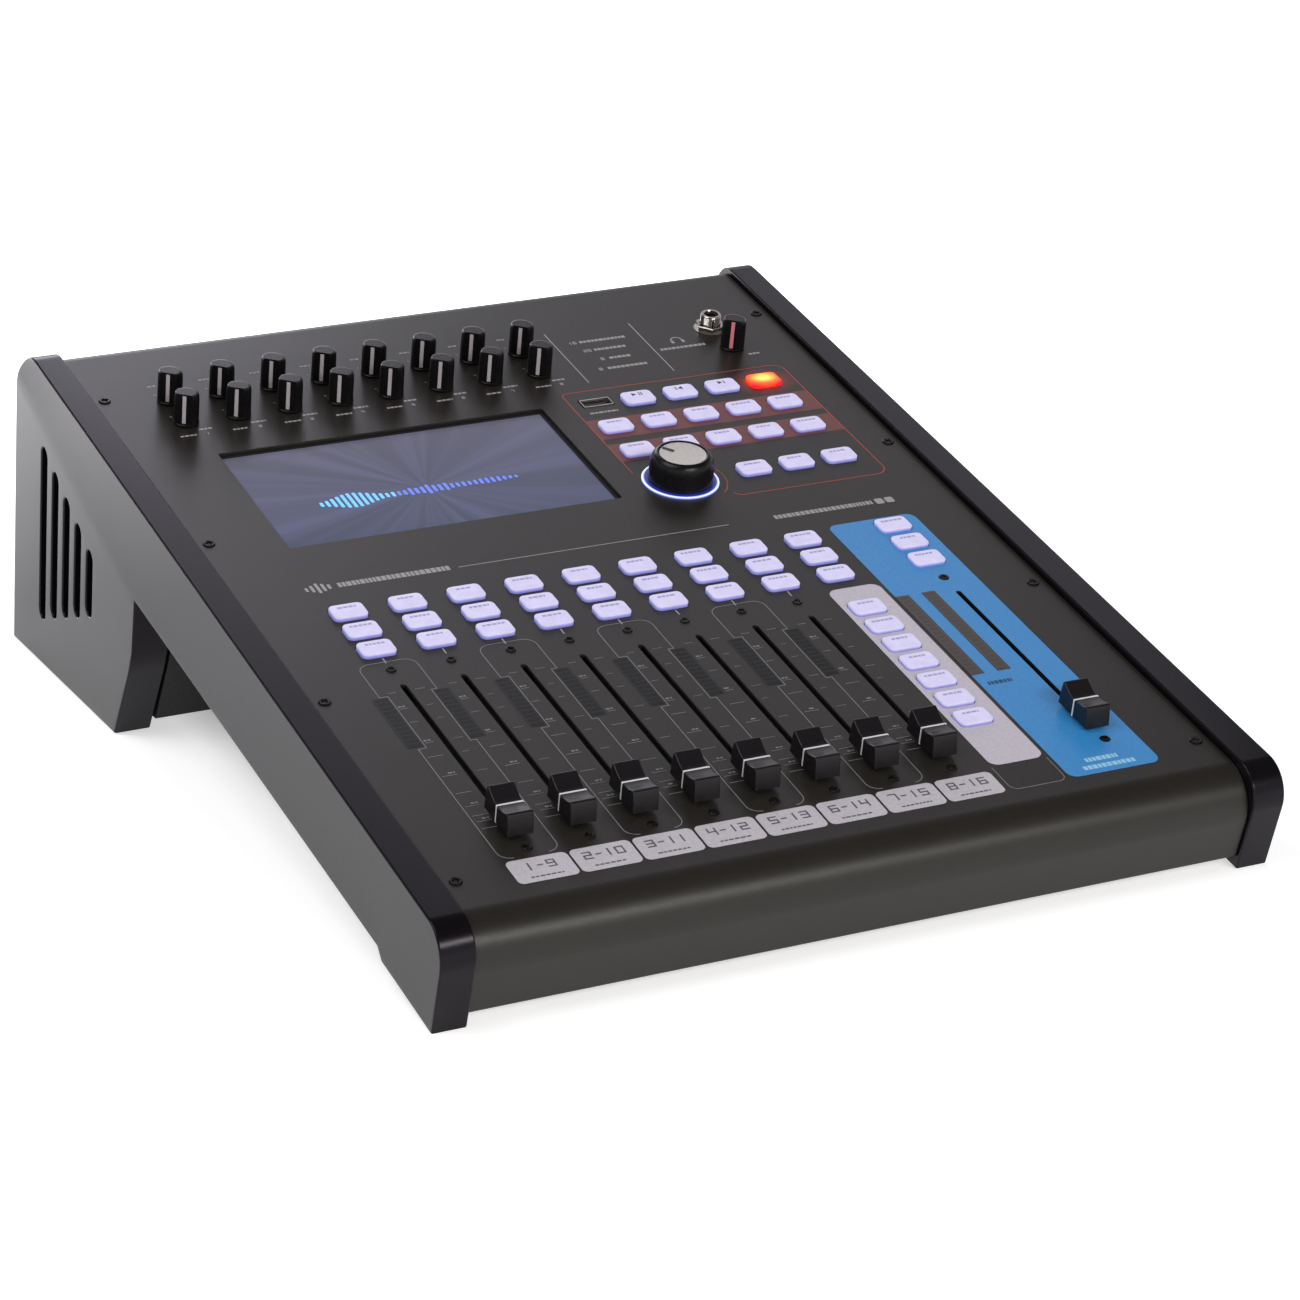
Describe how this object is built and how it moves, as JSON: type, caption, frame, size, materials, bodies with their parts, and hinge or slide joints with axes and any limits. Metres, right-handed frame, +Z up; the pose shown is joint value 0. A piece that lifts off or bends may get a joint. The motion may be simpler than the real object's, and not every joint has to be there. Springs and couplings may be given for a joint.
{
  "type": "digital mixing console",
  "caption": "Compact sloping digital mixing console with a display, rotary knobs, lit keys, an encoder and motor-style channel faders between two side cheeks.",
  "frame": {"origin": "on the surface the desk stands on, under the centre of its overall box", "axes": "+Z up, +Y from the operator's front edge towards the rear connector face, +X to the operator's right"},
  "size_m": [0.358, 0.49, 0.1435],
  "materials": {
    "charcoal_powder_coat": "fine satin powder coat",
    "cheek_satin_black": "smooth satin black moulding",
    "black_steel": "matt black coat",
    "zinc_steel": "zinc plate",
    "sheet_aluminium": "bare sheet",
    "black_plastic": "moulded, satin",
    "glass": "dark lit display glass",
    "circuit_board": "solder mask",
    "rubber": "matt",
    "glowing_silicone": "back-lit translucent silicone",
    "glowing_red_silicone": "back-lit translucent silicone",
    "chrome": "polished",
    "light_guide": "lit translucent ring"
  },
  "bodies": {
    "root": {"top_panel": "charcoal_powder_coat", "base_tray": "black_steel", "left_cheek": "cheek_satin_black", "right_cheek": "cheek_satin_black", "rear_panel": "charcoal_powder_coat", "input_board": "black_plastic", "power_inlet": "black_plastic", "display_glass": "glass", "display_module": "sheet_aluminium", "main_board": "circuit_board", "control_board": "circuit_board", "fader_bank": "sheet_aluminium", "power_supply": "sheet_aluminium", "usb_socket": "zinc_steel", "phones_jack": "chrome", "encoder_ring": "light_guide", "front_foot_strip": "rubber", "rear_foot_strip": "rubber"},
    "gain_knob_01": {"gain_knob_01": "black_plastic"},
    "gain_knob_02": {"gain_knob_02": "black_plastic"},
    "gain_knob_03": {"gain_knob_03": "black_plastic"},
    "gain_knob_04": {"gain_knob_04": "black_plastic"},
    "gain_knob_05": {"gain_knob_05": "black_plastic"},
    "gain_knob_06": {"gain_knob_06": "black_plastic"},
    "gain_knob_07": {"gain_knob_07": "black_plastic"},
    "gain_knob_08": {"gain_knob_08": "black_plastic"},
    "gain_knob_09": {"gain_knob_09": "black_plastic"},
    "gain_knob_10": {"gain_knob_10": "black_plastic"},
    "gain_knob_11": {"gain_knob_11": "black_plastic"},
    "gain_knob_12": {"gain_knob_12": "black_plastic"},
    "gain_knob_13": {"gain_knob_13": "black_plastic"},
    "gain_knob_14": {"gain_knob_14": "black_plastic"},
    "gain_knob_15": {"gain_knob_15": "black_plastic"},
    "gain_knob_16": {"gain_knob_16": "black_plastic"},
    "phones_knob": {"phones_knob": "black_plastic"},
    "encoder_knob": {"encoder_knob": "black_plastic"},
    "fader_1": {"fader_1": "black_plastic"},
    "fader_2": {"fader_2": "black_plastic"},
    "fader_3": {"fader_3": "black_plastic"},
    "fader_4": {"fader_4": "black_plastic"},
    "fader_5": {"fader_5": "black_plastic"},
    "fader_6": {"fader_6": "black_plastic"},
    "fader_7": {"fader_7": "black_plastic"},
    "fader_8": {"fader_8": "black_plastic"},
    "fader_master": {"fader_master": "black_plastic"},
    "keys_channel_1": {"keys_channel_1": "glowing_silicone"},
    "keys_channel_2": {"keys_channel_2": "glowing_silicone"},
    "keys_channel_3": {"keys_channel_3": "glowing_silicone"},
    "keys_channel_4": {"keys_channel_4": "glowing_silicone"},
    "keys_channel_5": {"keys_channel_5": "glowing_silicone"},
    "keys_channel_6": {"keys_channel_6": "glowing_silicone"},
    "keys_channel_7": {"keys_channel_7": "glowing_silicone"},
    "keys_channel_8": {"keys_channel_8": "glowing_silicone"},
    "keys_layer_and_master": {"keys_layer_and_master": "glowing_silicone"},
    "keys_bank": {"keys_bank": "glowing_silicone"},
    "keys_transport": {"keys_transport": "glowing_silicone"},
    "key_record": {"key_record": "glowing_red_silicone"},
    "keys_menu": {"keys_menu": "glowing_silicone"},
    "keys_edit": {"keys_edit": "glowing_silicone"},
    "power_rocker": {"power_rocker": "black_plastic"}
  },
  "joints": [
    {"name": "gain_turn_01", "type": "hinge", "parent": "root", "child": "gain_knob_01", "pos_m": [-0.1299, 0.15591, 0.12726], "axis": [0, 0.213, -0.977], "range_deg": [0, 290]},
    {"name": "gain_turn_02", "type": "hinge", "parent": "root", "child": "gain_knob_02", "pos_m": [-0.10635, 0.15591, 0.12726], "axis": [0, 0.213, -0.977], "range_deg": [0, 290]},
    {"name": "gain_turn_03", "type": "hinge", "parent": "root", "child": "gain_knob_03", "pos_m": [-0.0828, 0.15591, 0.12726], "axis": [0, 0.213, -0.977], "range_deg": [0, 290]},
    {"name": "gain_turn_04", "type": "hinge", "parent": "root", "child": "gain_knob_04", "pos_m": [-0.05925, 0.15591, 0.12726], "axis": [0, 0.213, -0.977], "range_deg": [0, 290]},
    {"name": "gain_turn_05", "type": "hinge", "parent": "root", "child": "gain_knob_05", "pos_m": [-0.0357, 0.15591, 0.12726], "axis": [0, 0.213, -0.977], "range_deg": [0, 290]},
    {"name": "gain_turn_06", "type": "hinge", "parent": "root", "child": "gain_knob_06", "pos_m": [-0.01215, 0.15591, 0.12726], "axis": [0, 0.213, -0.977], "range_deg": [0, 290]},
    {"name": "gain_turn_07", "type": "hinge", "parent": "root", "child": "gain_knob_07", "pos_m": [0.0114, 0.15591, 0.12726], "axis": [0, 0.213, -0.977], "range_deg": [0, 290]},
    {"name": "gain_turn_08", "type": "hinge", "parent": "root", "child": "gain_knob_08", "pos_m": [0.03495, 0.15591, 0.12726], "axis": [0, 0.213, -0.977], "range_deg": [0, 290]},
    {"name": "gain_turn_09", "type": "hinge", "parent": "root", "child": "gain_knob_09", "pos_m": [-0.1299, 0.13579, 0.12287], "axis": [0, 0.213, -0.977], "range_deg": [0, 290]},
    {"name": "gain_turn_10", "type": "hinge", "parent": "root", "child": "gain_knob_10", "pos_m": [-0.10635, 0.13579, 0.12287], "axis": [0, 0.213, -0.977], "range_deg": [0, 290]},
    {"name": "gain_turn_11", "type": "hinge", "parent": "root", "child": "gain_knob_11", "pos_m": [-0.0828, 0.13579, 0.12287], "axis": [0, 0.213, -0.977], "range_deg": [0, 290]},
    {"name": "gain_turn_12", "type": "hinge", "parent": "root", "child": "gain_knob_12", "pos_m": [-0.05925, 0.13579, 0.12287], "axis": [0, 0.213, -0.977], "range_deg": [0, 290]},
    {"name": "gain_turn_13", "type": "hinge", "parent": "root", "child": "gain_knob_13", "pos_m": [-0.0357, 0.13579, 0.12287], "axis": [0, 0.213, -0.977], "range_deg": [0, 290]},
    {"name": "gain_turn_14", "type": "hinge", "parent": "root", "child": "gain_knob_14", "pos_m": [-0.01215, 0.13579, 0.12287], "axis": [0, 0.213, -0.977], "range_deg": [0, 290]},
    {"name": "gain_turn_15", "type": "hinge", "parent": "root", "child": "gain_knob_15", "pos_m": [0.0114, 0.13579, 0.12287], "axis": [0, 0.213, -0.977], "range_deg": [0, 290]},
    {"name": "gain_turn_16", "type": "hinge", "parent": "root", "child": "gain_knob_16", "pos_m": [0.03495, 0.13579, 0.12287], "axis": [0, 0.213, -0.977], "range_deg": [0, 290]},
    {"name": "phones_turn", "type": "hinge", "parent": "root", "child": "phones_knob", "pos_m": [0.1305, 0.13579, 0.12287], "axis": [0, 0.213, -0.977], "range_deg": [0, 290]},
    {"name": "encoder_turn", "type": "hinge", "parent": "root", "child": "encoder_knob", "pos_m": [0.0528, 0.03075, 0.09997], "axis": [0, 0.213, -0.977], "continuous": true},
    {"name": "fader_1_slide", "type": "slide", "parent": "root", "child": "fader_1", "axis": [0, 0.977, 0.213], "range_m": [0, 0.0995]},
    {"name": "fader_2_slide", "type": "slide", "parent": "root", "child": "fader_2", "axis": [0, 0.977, 0.213], "range_m": [0, 0.0995]},
    {"name": "fader_3_slide", "type": "slide", "parent": "root", "child": "fader_3", "axis": [0, 0.977, 0.213], "range_m": [0, 0.0995]},
    {"name": "fader_4_slide", "type": "slide", "parent": "root", "child": "fader_4", "axis": [0, 0.977, 0.213], "range_m": [0, 0.0995]},
    {"name": "fader_5_slide", "type": "slide", "parent": "root", "child": "fader_5", "axis": [0, 0.977, 0.213], "range_m": [0, 0.0995]},
    {"name": "fader_6_slide", "type": "slide", "parent": "root", "child": "fader_6", "axis": [0, 0.977, 0.213], "range_m": [0, 0.0995]},
    {"name": "fader_7_slide", "type": "slide", "parent": "root", "child": "fader_7", "axis": [0, 0.977, 0.213], "range_m": [0, 0.0995]},
    {"name": "fader_8_slide", "type": "slide", "parent": "root", "child": "fader_8", "axis": [0, 0.977, 0.213], "range_m": [0, 0.0995]},
    {"name": "fader_master_slide", "type": "slide", "parent": "root", "child": "fader_master", "axis": [0, 0.977, 0.213], "range_m": [0, 0.0995]},
    {"name": "press_channel_1", "type": "slide", "parent": "root", "child": "keys_channel_1", "axis": [0, 0.213, -0.977], "range_m": [0, 0.001], "stiffness_N_per_m": 400, "springref_m": -0.0005},
    {"name": "press_channel_2", "type": "slide", "parent": "root", "child": "keys_channel_2", "axis": [0, 0.213, -0.977], "range_m": [0, 0.001], "stiffness_N_per_m": 400, "springref_m": -0.0005},
    {"name": "press_channel_3", "type": "slide", "parent": "root", "child": "keys_channel_3", "axis": [0, 0.213, -0.977], "range_m": [0, 0.001], "stiffness_N_per_m": 400, "springref_m": -0.0005},
    {"name": "press_channel_4", "type": "slide", "parent": "root", "child": "keys_channel_4", "axis": [0, 0.213, -0.977], "range_m": [0, 0.001], "stiffness_N_per_m": 400, "springref_m": -0.0005},
    {"name": "press_channel_5", "type": "slide", "parent": "root", "child": "keys_channel_5", "axis": [0, 0.213, -0.977], "range_m": [0, 0.001], "stiffness_N_per_m": 400, "springref_m": -0.0005},
    {"name": "press_channel_6", "type": "slide", "parent": "root", "child": "keys_channel_6", "axis": [0, 0.213, -0.977], "range_m": [0, 0.001], "stiffness_N_per_m": 400, "springref_m": -0.0005},
    {"name": "press_channel_7", "type": "slide", "parent": "root", "child": "keys_channel_7", "axis": [0, 0.213, -0.977], "range_m": [0, 0.001], "stiffness_N_per_m": 400, "springref_m": -0.0005},
    {"name": "press_channel_8", "type": "slide", "parent": "root", "child": "keys_channel_8", "axis": [0, 0.213, -0.977], "range_m": [0, 0.001], "stiffness_N_per_m": 400, "springref_m": -0.0005},
    {"name": "press_layer_and_master", "type": "slide", "parent": "root", "child": "keys_layer_and_master", "axis": [0, 0.213, -0.977], "range_m": [0, 0.001], "stiffness_N_per_m": 400, "springref_m": -0.0005},
    {"name": "press_bank", "type": "slide", "parent": "root", "child": "keys_bank", "axis": [0, 0.213, -0.977], "range_m": [0, 0.001], "stiffness_N_per_m": 400, "springref_m": -0.0005},
    {"name": "press_transport", "type": "slide", "parent": "root", "child": "keys_transport", "axis": [0, 0.213, -0.977], "range_m": [0, 0.001], "stiffness_N_per_m": 400, "springref_m": -0.0005},
    {"name": "press_record", "type": "slide", "parent": "root", "child": "key_record", "axis": [0, 0.213, -0.977], "range_m": [0, 0.001], "stiffness_N_per_m": 400, "springref_m": -0.0005},
    {"name": "press_menu", "type": "slide", "parent": "root", "child": "keys_menu", "axis": [0, 0.213, -0.977], "range_m": [0, 0.001], "stiffness_N_per_m": 400, "springref_m": -0.0005},
    {"name": "press_edit", "type": "slide", "parent": "root", "child": "keys_edit", "axis": [0, 0.213, -0.977], "range_m": [0, 0.001], "stiffness_N_per_m": 400, "springref_m": -0.0005},
    {"name": "power_rock", "type": "hinge", "parent": "root", "child": "power_rocker", "pos_m": [0.128, 0.22371, 0.0576], "axis": [1, 0, 0], "range_deg": [0, 16]}
  ]
}
